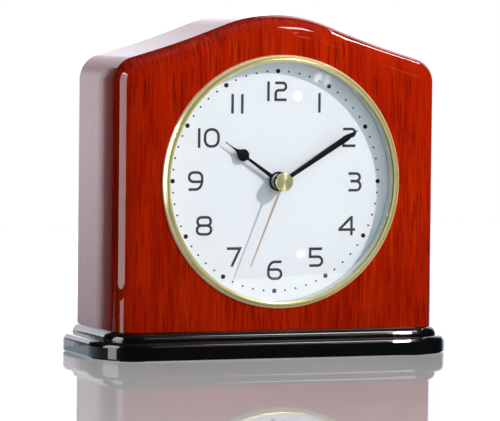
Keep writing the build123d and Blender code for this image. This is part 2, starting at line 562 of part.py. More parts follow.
# ---------------------------------------------------------------------------
# stepping motor and electronics
# ---------------------------------------------------------------------------
ST0, ST1 = 8.9, 9.6
stator_face = at(Circle(3.65), P_R)
stator_face += poly((-9.0, 12.6), (-1.0, 12.6), (1.0, 10.6), (P_R[0], 10.6), (P_R[0], 15.2), (-6.6, 15.2),
                    (-6.6, 20.4), (-9.0, 20.4))
stator_face += poly((P_R[0] + 2.6, 6.8), (15.0, 6.8), (15.0, 20.4), (12.6, 20.4), (12.6, 9.2), (P_R[0] + 2.6, 9.2))
stator = dslab(stator_face - at(Circle(2.8), P_R), ST0, ST1)
save(stator, "stator")
coil_core = dbox(-9.0, 15.0, 20.4, 22.6, ST0, ST1)
save(coil_core, "coil_core")
core_hole = dbox(-8.0, 14.0, 20.4, 22.6, ST0, ST1)
coil_bobbin = (dbox(-6.0, 12.0, 19.6, 23.4, 8.1, 10.4) + dbox(-6.0, -5.0, 17.8, 25.2, 5.9, 12.6)
               + dbox(11.0, 12.0, 17.8, 25.2, 5.9, 12.6)) - core_hole
save(coil_bobbin, "coil_bobbin")
coil_winding = dbox(-5.0, 11.0, 18.2, 24.8, 6.3, 12.2)
coil_winding = fillet(coil_winding.edges().filter_by(Axis.X), 1.8) - dbox(-5.0, 11.0, 19.6, 23.4, 8.1, 10.4)
save(coil_winding, "coil_winding")

circuit_board = dbox(-25.8, -12.0, 16.9, 26.2, 9.0, 10.0)
save(circuit_board, "circuit_board")
driver_chip = dslab(at(Circle(2.6), (-21.5, 21.5)), 10.0, 11.2)
top_rim = driver_chip.edges().filter_by(GeomType.CIRCLE).filter_by(lambda e: abs(e.center().Y - yd(11.2)) < 0.01)
driver_chip = fillet(top_rim, 0.9)
save(driver_chip, "driver_chip")
quartz_can = Pos(-15.4, yd(11.0), ZC + 21.4) * Cylinder(1.0, 6.0)
quartz_can = fillet(quartz_can.edges().filter_by(GeomType.CIRCLE), 0.25)
save(quartz_can, "quartz_can")

# ---------------------------------------------------------------------------
# battery and its contacts
# ---------------------------------------------------------------------------
CELL_X0, CELL_X1, NUB_X1 = -24.2, 24.1, 25.28
cy, cz = yd(CELL_D), ZC + CELL_Z
body = Pos((CELL_X0 + CELL_X1) / 2, cy, cz) * Rot(0, 90, 0) * Cylinder(CELL_R, CELL_X1 - CELL_X0)
body = fillet(body.edges().filter_by(GeomType.CIRCLE), 0.6)
battery_cell = body + Pos((CELL_X1 - 0.2 + NUB_X1) / 2, cy, cz) * Rot(0, 90, 0) * Cylinder(2.6, NUB_X1 - CELL_X1 + 0.2)
save(battery_cell, "battery_cell")

contact_positive = dbox(25.3, BAY_X, -22.2, -15.4, 8.6, 15.6) + dbox(25.3, BAY_X, -16.0, -6.0, 11.0, 13.0)
save(contact_positive, "contact_positive")
leaf = poly((-25.4, -22.6), (-25.4, -22.2), (-24.54, -18.9), (-25.4, -15.6), (-25.4, -15.2), (-24.22, -18.8))
contact_negative = (dbox(-BAY_X, -25.3, -23.0, -14.8, 9.6, 14.6) + dbox(-BAY_X, -25.3, -16.0, -6.0, 11.0, 13.0)
                    + dslab(leaf, 10.4, 13.8))
save(contact_negative, "contact_negative")

print("rotor", P_R, "intermediate", P_I, "third", P_T, "motion", P_M, "setting", P_S)
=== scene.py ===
import bpy
import bmesh
import json
import math
from mathutils import Vector, Matrix


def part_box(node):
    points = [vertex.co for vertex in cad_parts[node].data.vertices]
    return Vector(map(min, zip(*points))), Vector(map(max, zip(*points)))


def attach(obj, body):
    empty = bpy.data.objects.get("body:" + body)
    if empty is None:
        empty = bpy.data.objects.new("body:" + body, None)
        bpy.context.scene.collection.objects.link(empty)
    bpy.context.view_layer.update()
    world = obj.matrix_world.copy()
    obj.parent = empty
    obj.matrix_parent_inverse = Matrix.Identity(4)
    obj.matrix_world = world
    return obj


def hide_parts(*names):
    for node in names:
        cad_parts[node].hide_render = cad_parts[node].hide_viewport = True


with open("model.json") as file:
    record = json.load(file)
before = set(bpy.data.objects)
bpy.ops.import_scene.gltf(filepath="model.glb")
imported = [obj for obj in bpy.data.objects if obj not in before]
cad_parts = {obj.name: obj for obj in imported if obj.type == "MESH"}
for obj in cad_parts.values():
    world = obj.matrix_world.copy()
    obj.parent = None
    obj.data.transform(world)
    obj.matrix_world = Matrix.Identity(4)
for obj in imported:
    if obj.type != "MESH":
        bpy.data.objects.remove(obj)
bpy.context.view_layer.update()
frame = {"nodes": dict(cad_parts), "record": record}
nodes = frame["nodes"]


# ---------------------------------------------------------------------------
# places, in metres: the dial's centre, its face, and the angles of the hands
# ---------------------------------------------------------------------------
MM = 0.001
ZC = 79.8
DIAL_Y = -21.0
CENTRE = Vector((0.0, DIAL_Y * MM, ZC * MM))
HOUR_DEG, MINUTE_DEG = 304.8, 57.6


# ---------------------------------------------------------------------------
# node helpers
# ---------------------------------------------------------------------------
class Mat:
    """A material with short ways to add and join its nodes."""

    def __init__(self, name):
        self.m = bpy.data.materials.new(name)
        self.m.use_nodes = True
        self.t = self.m.node_tree
        self.t.nodes.clear()
        self.out = self.t.nodes.new("ShaderNodeOutputMaterial")
        self.co = None

    def node(self, kind, **props):
        n = self.t.nodes.new(kind)
        for k, v in props.items():
            setattr(n, k, v)
        return n

    def join(self, a, b):
        self.t.links.new(a, b)

    def put(self, socket, value):
        if isinstance(value, bpy.types.NodeSocket):
            self.join(value, socket)
        elif isinstance(value, (tuple, list)) and len(value) == 3 and socket.type == "RGBA":
            socket.default_value = (*value, 1.0)
        else:
            socket.default_value = value

    def object_co(self):
        if self.co is None:
            self.co = self.node("ShaderNodeTexCoord").outputs["Object"]
        return self.co

    def mapped(self, scale, move=(0, 0, 0), turn=(0, 0, 0), source=None):
        n = self.node("ShaderNodeMapping")
        self.join(source or self.object_co(), n.inputs["Vector"])
        n.inputs["Scale"].default_value = scale
        n.inputs["Location"].default_value = move
        n.inputs["Rotation"].default_value = turn
        return n.outputs["Vector"]

    def noise(self, vec, scale=1.0, detail=2.0, rough=0.5, distort=0.0):
        n = self.node("ShaderNodeTexNoise")
        self.join(vec, n.inputs["Vector"])
        n.inputs["Scale"].default_value = scale
        n.inputs["Detail"].default_value = detail
        n.inputs["Roughness"].default_value = rough
        n.inputs["Distortion"].default_value = distort
        return n.outputs["Fac"]

    def voronoi(self, vec, scale=1.0, feature="F1", out="Distance"):
        n = self.node("ShaderNodeTexVoronoi", feature=feature)
        self.join(vec, n.inputs["Vector"])
        n.inputs["Scale"].default_value = scale
        return n.outputs[out]

    def ramp(self, fac, *stops, mode="LINEAR"):
        n = self.node("ShaderNodeValToRGB")
        n.color_ramp.interpolation = mode
        els = n.color_ramp.elements
        while len(els) > 1:
            els.remove(els[-1])
        for i, (p, c) in enumerate(stops):
            e = els[0] if i == 0 else els.new(p)
            e.position = p
            e.color = (c, c, c, 1) if isinstance(c, (int, float)) else (*c, 1)
        self.join(fac, n.inputs["Fac"])
        return n.outputs["Color"]

    def range(self, v, a, b, c=0.0, d=1.0, smooth=False):
        n = self.node("ShaderNodeMapRange")
        if smooth:
            n.interpolation_type = "SMOOTHSTEP"
        self.join(v, n.inputs["Value"])
        for k, x in (("From Min", a), ("From Max", b), ("To Min", c), ("To Max", d)):
            n.inputs[k].default_value = x
        return n.outputs["Result"]

    def math(self, op, a, b=None, clamp=False):
        n = self.node("ShaderNodeMath", operation=op)
        n.use_clamp = clamp
        self.put(n.inputs[0], a)
        if b is not None:
            self.put(n.inputs[1], b)
        return n.outputs[0]

    def mix(self, fac, a, b, kind="MIX"):
        n = self.node("ShaderNodeMix", data_type="RGBA", blend_type=kind)
        self.put(n.inputs["Factor"], fac)
        a_in = [s for s in n.inputs if s.name == "A" and s.type == "RGBA"][0]
        b_in = [s for s in n.inputs if s.name == "B" and s.type == "RGBA"][0]
        self.put(a_in, a)
        self.put(b_in, b)
        return [s for s in n.outputs if s.type == "RGBA"][0]

    def xyz(self, source=None):
        n = self.node("ShaderNodeSeparateXYZ")
        self.join(source or self.object_co(), n.inputs[0])
        return n.outputs

    def bump(self, height, dist, strength=1.0, under=None):
        n = self.node("ShaderNodeBump")
        self.join(height, n.inputs["Height"])
        n.inputs["Distance"].default_value = dist
        n.inputs["Strength"].default_value = strength
        if under is not None:
            self.join(under, n.inputs["Normal"])
        return n.outputs["Normal"]

    def principled(self, **values):
        n = self.node("ShaderNodeBsdfPrincipled")
        for k, v in values.items():
            self.put(n.inputs[k.replace("_", " ")], v)
        self.join(n.outputs[0], self.out.inputs["Surface"])
        return n


# ---------------------------------------------------------------------------
# materials
# ---------------------------------------------------------------------------
def lacquered_wood(name, across):
    """Red-brown stained wood under clear gloss lacquer. across says how the grain is stretched on each axis."""
    m = Mat(name)
    x, y, z = m.xyz()
    pore = m.noise(m.mapped(across(1750, 0.034), (3.1, 1.7, 0.4)), 1.0, 2.0, 0.5, 0.25)
    gate = m.noise(m.mapped(across(130, 0.22), (0.7, 2.9, 1.3)), 1.0, 3.0, 0.65)
    pores = m.ramp(m.math("MULTIPLY", m.range(pore, 0.535, 0.64), m.range(gate, 0.38, 0.62)), (0.0, 0.0), (0.40, 1.0))
    # tone: broad soft bands, slow figure, and faint fine streaks
    band = m.noise(m.mapped(across(42, 0.22), (1.3, 4.2, 2.2)), 1.0, 3.0, 0.5, 0.8)
    figure = m.noise(m.mapped(across(170, 0.10), (2.3, 1.2, 4.4)), 1.0, 3.0, 0.55, 0.8)
    streak = m.noise(m.mapped(across(700, 0.035), (5.3, 0.2, 0.9)), 1.0, 2.0, 0.5, 0.3)
    mixed = m.math("ADD", m.math("MULTIPLY", streak, 0.38), m.math("MULTIPLY", figure, 0.62))
    base = m.ramp(mixed, (0.34, (0.225, 0.0060, 0.0003)), (0.46, (0.290, 0.0088, 0.0004)),
                  (0.56, (0.325, 0.0123, 0.0005)), (0.68, (0.360, 0.0190, 0.0008)))
    tone = m.mix(m.range(band, 0.35, 0.66), (0.86, 0.74, 0.74), (1.10, 1.22, 1.10))
    # the colour is made lighter towards the top and the right
    lift = m.math("ADD", m.range(z, 0.015, 0.150, 0.85, 1.26), m.range(x, -0.08, 0.08, -0.12, 0.13))
    tint = m.node("ShaderNodeCombineXYZ")
    for i in range(3):
        m.join(lift, tint.inputs[i])
    lit = m.mix(1.0, m.mix(1.0, base, tone, "MULTIPLY"), tint.outputs[0], "MULTIPLY")
    colour = m.mix(m.math("MULTIPLY", pores, 0.62), lit, (0.075, 0.0016, 0.0002))
    soft = m.bump(m.math("ADD", m.math("MULTIPLY", pores, -0.6), m.math("MULTIPLY", streak, 0.25)), 0.00006, 0.35)
    # the lacquer lies nearly level over the pores, with a faint ripple
    ripple = m.noise(m.mapped((120, 120, 50)), 1.0, 2.0, 0.5)
    skin = m.bump(m.math("ADD", ripple, m.math("MULTIPLY", pores, -0.02)), 0.00006, 0.04)
    rough = m.range(streak, 0.3, 0.8, 0.42, 0.30)
    p = m.principled(Base_Color=colour, Roughness=rough, Normal=soft, Specular_IOR_Level=0.0,
                     Coat_Weight=1.0, Coat_Roughness=0.014, Coat_IOR=1.36)
    m.join(skin, p.inputs["Coat Normal"])
    return m.m


def wood_front(scale, along):
    return (scale, scale * 0.12, scale * along)


def wood_shell(scale, along):
    return (scale * along, scale, scale * along)


def raw_wood():
    m = Mat("raw_softwood")
    v = m.mapped((18, 420, 420))
    grain = m.noise(v, 1.0, 4.0, 0.6, 0.2)
    knots = m.noise(m.mapped((30, 60, 60), (2, 1, 4)), 1.0, 2.0, 0.5)
    c = m.ramp(grain, (0.25, (0.30, 0.17, 0.075)), (0.55, (0.52, 0.34, 0.17)), (0.8, (0.62, 0.44, 0.25)))
    c = m.mix(m.range(knots, 0.55, 0.8), c, (0.33, 0.19, 0.09))
    m.principled(Base_Color=c, Roughness=m.range(grain, 0.2, 0.8, 0.75, 0.6), Normal=m.bump(grain, 0.0001, 0.5),
                 Specular_IOR_Level=0.3)
    return m.m


def back_board():
    """Pressed fibre board, dark brown, smooth side out."""
    m = Mat("fibre_board")
    v = m.mapped((900, 900, 900))
    fibre = m.noise(m.mapped((700, 700, 2600)), 1.0, 5.0, 0.7, 0.8)
    fleck = m.voronoi(v, 1.3)
    c = m.ramp(fibre, (0.25, (0.050, 0.024, 0.013)), (0.55, (0.120, 0.062, 0.034)), (0.8, (0.200, 0.115, 0.068)))
    c = m.mix(m.range(fleck, 0.0, 0.22, 0.6, 0.0), c, (0.24, 0.15, 0.09))
    m.principled(Base_Color=c, Roughness=m.range(fibre, 0.3, 0.8, 0.62, 0.48), Normal=m.bump(fibre, 0.00008, 0.5),
                 Specular_IOR_Level=0.35)
    return m.m


def black_lacquer():
    m = Mat("black_lacquer")
    peel = m.noise(m.mapped((260, 260, 260)), 1.0, 2.0, 0.5)
    wear = m.noise(m.mapped((1700, 1700, 1700)), 1.0, 5.0, 0.7)
    haze = m.noise(m.mapped((40, 40, 40)), 1.0, 3.0, 0.6)
    c = m.ramp(wear, (0.35, (0.0010, 0.0012, 0.0013)), (0.75, (0.0022, 0.0025, 0.0027)))
    p = m.principled(Base_Color=c, Roughness=m.range(haze, 0.3, 0.7, 0.20, 0.32), Specular_IOR_Level=0.05,
                     Coat_Weight=1.0, Coat_Roughness=0.015, Coat_IOR=1.45)
    m.join(m.bump(peel, 0.00006, 0.10), p.inputs["Coat Normal"])
    return m.m


def dial_radius(m):
    """Distance from the dial's axis, and the angle round it, from the object's own coordinates."""
    x, y, z = m.xyz()
    dz = m.math("SUBTRACT", z, ZC * MM)
    r = m.math("SQRT", m.math("ADD", m.math("MULTIPLY", x, x), m.math("MULTIPLY", dz, dz)))
    return r, m.math("ARCTAN2", dz, x)


def gold_plate():
    """Satin gold finish with a clear bright skin."""
    m = Mat("gold_plate")
    r, a = dial_radius(m)
    v = m.node("ShaderNodeCombineXYZ")
    m.join(m.math("MULTIPLY", r, 9000.0), v.inputs[0])
    m.join(m.math("MULTIPLY", a, 3.0), v.inputs[1])
    turned = m.noise(v.outputs[0], 1.0, 3.0, 0.6)
    blot = m.noise(m.mapped((220, 220, 220)), 1.0, 3.0, 0.6)
    c = m.ramp(blot, (0.3, (0.58, 0.525, 0.225)), (0.7, (0.70, 0.635, 0.30)))
    # painted shade: the groove between the two beads is painted darker and greener, standing in for the dark reflection
    # and shade in the hollow
    c = m.mix(m.ramp(m.range(r, 0.0540, 0.0576, 0.0, 1.0), (0.0, (0, 0, 0)), (0.26, (0, 0, 0)), (0.42, (1, 1, 1)), (0.56, (1, 1, 1)), (0.68, (0, 0, 0))),
              c, (0.40, 0.385, 0.135))
    # painted highlight: the outer bead is painted brighter, standing in for the overhead reflection on it
    c = m.mix(m.ramp(m.range(r, 0.0540, 0.0576, 0.0, 1.0), (0.0, (0, 0, 0)), (0.62, (0, 0, 0)), (0.74, (1, 1, 1)), (1.0, (1, 1, 1))), c, (0.88, 0.83, 0.47))
    p = m.principled(Base_Color=c, Metallic=0.34, Roughness=m.range(blot, 0.3, 0.7, 0.20, 0.28),
                     Normal=m.bump(turned, 0.00001, 0.35), Coat_Weight=1.0, Coat_Roughness=0.05, Coat_IOR=1.6)
    return m.m


def turned_brass():
    """Brass turned on a lathe: fine rings round the axis, so a light shows as two opposite fans."""
    m = Mat("turned_brass")
    r, a = dial_radius(m)
    v = m.node("ShaderNodeCombineXYZ")
    m.join(m.math("MULTIPLY", r, 24000.0), v.inputs[0])
    m.join(m.math("MULTIPLY", a, 2.0), v.inputs[1])
    rings = m.noise(v.outputs[0], 1.0, 2.0, 0.6)
    c = m.ramp(rings, (0.3, (0.66, 0.62, 0.27)), (0.7, (0.90, 0.86, 0.47)))
    tan = m.node("ShaderNodeTangent", direction_type="RADIAL", axis="Y")
    m.principled(Base_Color=c, Metallic=0.68, Roughness=m.range(rings, 0.3, 0.7, 0.24, 0.32), Anisotropic=0.85, Anisotropic_Rotation=0.25,
                 Tangent=tan.outputs[0], Normal=m.bump(rings, 0.000004, 0.4))
    return m.m


def metal(name, colour, rough, scratch=(900, 900, 900), depth=0.00001, spread=0.15, share=1.0):
    m = Mat(name)
    n = m.noise(m.mapped(scratch), 1.0, 4.0, 0.65)
    dark = tuple(c * (1 - spread) for c in colour)
    lite = tuple(min(1.0, c * (1 + spread)) for c in colour)
    m.principled(Base_Color=m.ramp(n, (0.3, dark), (0.7, lite)), Metallic=share,
                 Roughness=m.range(n, 0.3, 0.7, rough * 1.25, rough * 0.8), Normal=m.bump(n, depth, 0.5))
    return m.m


def plastic(name, colour, rough, grain=2600, depth=0.00002, spread=0.12, spec=0.5, haze=0.0):
    m = Mat(name)
    n = m.noise(m.mapped((grain, grain, grain)), 1.0, 3.0, 0.6)
    b = m.noise(m.mapped((70, 70, 70), (1, 2, 3)), 1.0, 3.0, 0.5)
    dark = tuple(c * (1 - spread) for c in colour)
    lite = tuple(min(1.0, c * (1 + spread)) for c in colour)
    m.principled(Base_Color=m.ramp(b, (0.3, dark), (0.7, lite)), Roughness=m.range(n, 0.3, 0.7, rough * 1.15, rough * 0.9),
                 Normal=m.bump(n, depth, 0.4), Specular_IOR_Level=spec, Transmission_Weight=haze)
    return m.m


def dial_paint():
    """White enamel paint on sheet metal, with a very fine tooth."""
    m = Mat("dial_white")
    n = m.noise(m.mapped((2400, 2400, 2400)), 1.0, 3.0, 0.6)
    b = m.noise(m.mapped((35, 35, 35)), 1.0, 2.0, 0.5)
    c = m.ramp(b, (0.3, (0.80, 0.835, 0.87)), (0.7, (0.835, 0.865, 0.885)))
    m.principled(Base_Color=c, Roughness=m.range(n, 0.3, 0.7, 0.62, 0.5), Normal=m.bump(n, 0.00001, 0.25),
                 Specular_IOR_Level=0.25)
    return m.m


def print_ink(name, k):
    m = Mat(name)
    n = m.noise(m.mapped((5200, 5200, 5200)), 1.0, 4.0, 0.7)
    c = m.ramp(n, (0.3, (0.028 * k, 0.036 * k, 0.042 * k)), (0.75, (0.056 * k, 0.070 * k, 0.078 * k)))
    m.principled(Base_Color=c, Roughness=m.range(n, 0.3, 0.7, 0.6, 0.45), Specular_IOR_Level=0.35)
    return m.m


def clear_glass():
    """Thin clear glass: what is behind shows unbent, and both faces mirror as glass does."""
    m = Mat("clear_glass")
    wipe = m.noise(m.mapped((55, 55, 140), (2, 0, 1)), 1.0, 4.0, 0.6)
    weight = m.node("ShaderNodeLayerWeight")
    weight.inputs["Blend"].default_value = 0.5
    mirror = m.math("ADD", 0.04, m.math("MULTIPLY", 0.96, m.math("POWER", weight.outputs["Facing"], 5.0)))
    clear = m.node("ShaderNodeBsdfTransparent")
    clear.inputs["Color"].default_value = (0.985, 0.992, 0.99, 1)
    gloss = m.node("ShaderNodeBsdfGlossy")
    gloss.inputs["Color"].default_value = (1, 1, 1, 1)
    m.join(m.range(wipe, 0.35, 0.75, 0.012, 0.05), gloss.inputs["Roughness"])
    mixer = m.node("ShaderNodeMixShader")
    m.join(mirror, mixer.inputs[0])
    m.join(clear.outputs[0], mixer.inputs[1])
    m.join(gloss.outputs[0], mixer.inputs[2])
    m.join(mixer.outputs[0], m.out.inputs["Surface"])
    return m.m


def felt():
    m = Mat("felt")
    n = m.noise(m.mapped((3800, 3800, 3800)), 1.0, 6.0, 0.75, 1.2)
    c = m.ramp(n, (0.3, (0.010, 0.011, 0.011)), (0.75, (0.045, 0.048, 0.046)))
    m.principled(Base_Color=c, Roughness=0.95, Sheen_Weight=0.6, Sheen_Roughness=0.5, Normal=m.bump(n, 0.0002, 0.8),
                 Specular_IOR_Level=0.1)
    return m.m


def copper_wire():
    m = Mat("copper_wire")
    x, y, z = m.xyz()
    w = m.node("ShaderNodeTexWave", wave_type="BANDS", bands_direction="X")
    m.join(m.mapped((1, 1, 1)), w.inputs["Vector"])
    w.inputs["Scale"].default_value = 1400.0
    w.inputs["Distortion"].default_value = 0.4
    f = w.outputs["Fac"]
    c = m.ramp(f, (0.0, (0.30, 0.09, 0.03)), (1.0, (0.85, 0.36, 0.18)))
    m.principled(Base_Color=c, Metallic=1.0, Roughness=0.3, Normal=m.bump(f, 0.00003, 0.8))
    return m.m


def cell_wrap():
    """Plain shrink sleeve of a dry cell: dark body and a coppery band at the plus end, with bare metal on both caps."""
    m = Mat("cell_wrap")
    x, y, z = m.xyz()
    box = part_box("battery_cell")
    mid = (box[0] + box[1]) / 2
    long = box[1].x - box[0].x
    rel = m.math("DIVIDE", m.math("SUBTRACT", x, box[0].x), long)
    dy = m.math("SUBTRACT", y, mid.y)
    dz = m.math("SUBTRACT", z, mid.z)
    rad = m.math("SQRT", m.math("ADD", m.math("MULTIPLY", dy, dy), m.math("MULTIPLY", dz, dz)))
    scuff = m.noise(m.mapped((300, 1200, 1200)), 1.0, 4.0, 0.7)
    band = m.range(rel, 0.715, 0.725)
    body = m.mix(band, m.ramp(scuff, (0.3, (0.010, 0.011, 0.012)), (0.75, (0.030, 0.031, 0.033))),
                 m.ramp(scuff, (0.3, (0.42, 0.18, 0.055)), (0.7, (0.55, 0.26, 0.09))))
    cap = m.math("MULTIPLY", m.range(rad, 0.0060, 0.0062, 1.0, 0.0),
                 m.math("MAXIMUM", m.range(rel, 0.02, 0.025, 1.0, 0.0), m.range(rel, 0.965, 0.97)))
    c = m.mix(cap, body, (0.62, 0.62, 0.60))
    m.principled(Base_Color=c, Metallic=m.math("MAXIMUM", cap, m.math("MULTIPLY", band, 0.7)),
                 Roughness=m.range(scuff, 0.3, 0.8, 0.34, 0.22), Normal=m.bump(scuff, 0.00001, 0.4))
    return m.m


def board_green():
    m = Mat("board_green")
    n = m.noise(m.mapped((1500, 1500, 1500)), 1.0, 3.0, 0.6)
    tracks = m.voronoi(m.mapped((420, 420, 420)), 1.0, "DISTANCE_TO_EDGE")
    c = m.ramp(n, (0.3, (0.012, 0.085, 0.035)), (0.7, (0.022, 0.130, 0.055)))
    c = m.mix(m.range(tracks, 0.05, 0.09, 0.6, 0.0), c, (0.05, 0.19, 0.08))
    m.principled(Base_Color=c, Roughness=0.35, Normal=m.bump(m.range(tracks, 0.05, 0.09), 0.00003, 0.5),
                 Coat_Weight=0.5, Coat_Roughness=0.15)
    return m.m


MATS = {
    "front_wood": lacquered_wood("lacquered_wood_front", wood_front),
    "shell_wood": lacquered_wood("lacquered_wood_shell", wood_shell),
    "raw_wood": raw_wood(),
    "back_board": back_board(),
    "black_lacquer": black_lacquer(),
    "gold_plate": gold_plate(),
    "turned_brass": turned_brass(),
    "silver_ring": metal("silver_ring", (0.62, 0.66, 0.68), 0.34, (400, 2600, 400), 0.00001, 0.06),
    "dial_white": dial_paint(),
    "ink": print_ink("numeral_ink", 0.8), "dot_ink": print_ink("dot_ink", 0.12),
    "black_hand": plastic("black_hand", (0.0030, 0.0034, 0.0038), 0.42, 2200, 0.00001, 0.35, 0.12),
    "rose_metal": metal("rose_metal", (0.66, 0.50, 0.40), 0.34, (700, 700, 5200), share=0.45),
    "steel": metal("collar_steel", (0.56, 0.56, 0.57), 0.30),
    "collar_face": metal("collar_face", (0.66, 0.63, 0.62), 0.42, share=0.35),
    "screw_steel": metal("screw_steel", (0.60, 0.57, 0.50), 0.28, (2500, 2500, 2500)),
    "clear_glass": clear_glass(),
    "rubber_black": plastic("rubber_black", (0.012, 0.012, 0.012), 0.75, 3000, 0.00006, 0.3, 0.3),
    "housing_plastic": plastic("housing_plastic", (0.030, 0.030, 0.032), 0.50, 1900, 0.00005, 0.2),
    "movement_plastic": plastic("movement_plastic", (0.016, 0.016, 0.017), 0.46, 3200, 0.00005, 0.25),
    "plate_plastic": plastic("plate_plastic", (0.62, 0.62, 0.58), 0.42, 2400, 0.00003, 0.06),
    "wheel_plastic": plastic("wheel_plastic", (0.78, 0.76, 0.66), 0.36, 2600, 0.00002, 0.05),
    "core_iron": metal("core_iron", (0.42, 0.41, 0.40), 0.38),
    "magnet": plastic("magnet", (0.055, 0.055, 0.060), 0.42, 3000, 0.00003, 0.2),
    "copper_wire": copper_wire(),
    "bobbin_plastic": plastic("bobbin_plastic", (0.70, 0.20, 0.05), 0.40, 2400, 0.00002, 0.06),
    "board_green": board_green(),
    "epoxy_black": plastic("epoxy_black", (0.010, 0.010, 0.011), 0.30, 1600, 0.00004, 0.3),
    "can_metal": metal("can_metal", (0.70, 0.70, 0.72), 0.18, (500, 500, 3000)),
    "cell_wrap": cell_wrap(),
    "contact_metal": metal("contact_metal", (0.74, 0.72, 0.66), 0.24, (2200, 500, 500)),
    "felt": felt(),
}
BY_SLOT = {"wood_lacquer": "front_wood"}
OWN = {"case_shell": "shell_wood", "front_panel": "front_wood", "plinth_screws": "screw_steel",
       "back_panel_screws": "screw_steel", "movement_screws": "screw_steel"}
slots = {s["node"]: s["material_slot"] for s in frame["record"]["subparts"]}
for name, obj in nodes.items():
    key = OWN.get(name) or BY_SLOT.get(slots[name], slots[name])
    obj.data.materials.clear()
    obj.data.materials.append(MATS[key])


# ---------------------------------------------------------------------------
# mesh helpers
# ---------------------------------------------------------------------------
def dial_point(x, z, h):
    """x to the right and z up from the dial's centre, h in front of its face, all in mm."""
    return Vector((x * MM, (DIAL_Y - h) * MM, (ZC + z) * MM))


def make(name, verts, faces, mat, smooth=False):
    me = bpy.data.meshes.new(name)
    me.from_pydata([tuple(v) for v in verts], [], faces)
    bm = bmesh.new()
    bm.from_mesh(me)
    bmesh.ops.remove_doubles(bm, verts=bm.verts, dist=1e-8)
    bmesh.ops.recalc_face_normals(bm, faces=bm.faces)
    bm.to_mesh(me)
    bm.free()
    for p in me.polygons:
        p.use_smooth = smooth
    me.materials.append(mat)
    o = bpy.data.objects.new(name, me)
    bpy.context.scene.collection.objects.link(o)
    return o


def joined(name, parts, mat):
    """The union of closed pieces as one closed mesh."""
    first = parts[0]
    for other in parts[1:]:
        mod = first.modifiers.new("join", "BOOLEAN")
        mod.operation = "UNION"
        mod.solver = "EXACT"
        mod.object = other
        bpy.context.view_layer.update()
        me = bpy.data.meshes.new_from_object(first.evaluated_get(bpy.context.evaluated_depsgraph_get()))
        first.modifiers.clear()
        old = first.data
        first.data = me
        bpy.data.meshes.remove(old)
        bpy.data.objects.remove(other)
    first.name = name
    first.data.name = name
    first.data.materials.clear()
    first.data.materials.append(mat)
    return first


def ribbon(path, width, closed=False):
    """Left and right edges of a stroke of that width along a path in the dial's plane."""
    n = len(path)
    left, right = [], []
    for i, (x, z) in enumerate(path):
        if closed:
            a, b = path[i - 1], path[(i + 1) % n]
        else:
            a, b = path[max(i - 1, 0)], path[min(i + 1, n - 1)]
        d0 = Vector((x - a[0], z - a[1]))
        d1 = Vector((b[0] - x, b[1] - z))
        d0 = d0.normalized() if d0.length > 1e-9 else d1.normalized()
        d1 = d1.normalized() if d1.length > 1e-9 else d0
        t = (d0 + d1).normalized()
        nn = Vector((-t.y, t.x))
        cos = max(0.45, nn.dot(Vector((-d0.y, d0.x))))
        k = width / 2 / cos
        left.append((x + nn.x * k, z + nn.y * k))
        right.append((x - nn.x * k, z - nn.y * k))
    return left, right


def stroke(name, path, width, h0, h1, closed=False):
    left, right = ribbon(path, width, closed)
    n = len(path)
    verts, faces = [], []
    for h in (h0, h1):
        for p in left + right:
            verts.append(dial_point(p[0], p[1], h))

    def at(side, i, top):
        return (2 * n if top else 0) + (n if side else 0) + i % n
    last = n if closed else n - 1
    for i in range(last):
        faces.append((at(0, i, 1), at(0, i + 1, 1), at(1, i + 1, 1), at(1, i, 1)))
        faces.append((at(0, i, 0), at(1, i, 0), at(1, i + 1, 0), at(0, i + 1, 0)))
        faces.append((at(0, i, 0), at(0, i + 1, 0), at(0, i + 1, 1), at(0, i, 1)))
        faces.append((at(1, i, 0), at(1, i, 1), at(1, i + 1, 1), at(1, i + 1, 0)))
    if not closed:
        faces.append((at(0, 0, 0), at(0, 0, 1), at(1, 0, 1), at(1, 0, 0)))
        faces.append((at(0, n - 1, 0), at(1, n - 1, 0), at(1, n - 1, 1), at(0, n - 1, 1)))
    return make(name, verts, faces, MATS["ink"])


def bend(cx, cz, rx, rz, a0, a1, n=14):
    """Points on an ellipse's arc, angles in degrees from +x towards +z."""
    out = []
    for i in range(n + 1):
        a = math.radians(a0 + (a1 - a0) * i / n)
        out.append((cx + rx * math.cos(a), cz + rz * math.sin(a)))
    return out


def round_box(x0, x1, z0, z1, rx, rz, power=2.0, n=12):
    """A closed path round a box with rounded corners."""
    out = []
    for cx, cz, a in ((x1 - rx, z1 - rz, 0), (x0 + rx, z1 - rz, 90), (x0 + rx, z0 + rz, 180), (x1 - rx, z0 + rz, 270)):
        for i in range(n + 1):
            t = math.radians(a + 90 * i / n)
            c, s = math.cos(t), math.sin(t)
            out.append((cx + rx * math.copysign(abs(c) ** (2 / power), c), cz + rz * math.copysign(abs(s) ** (2 / power), s)))
    kept = [out[0]]
    for p in out[1:]:
        if math.hypot(p[0] - kept[-1][0], p[1] - kept[-1][1]) > 0.02:
            kept.append(p)
    return kept


# ---------------------------------------------------------------------------
# dial print: numerals and minute dots
# ---------------------------------------------------------------------------
STROKE = 1.22
INK_H0, INK_H1 = -0.03, 0.06
T = 3.84                      # half height of a numeral's centre line
PHASE = 0.35                  # the print is turned this many degrees clockwise


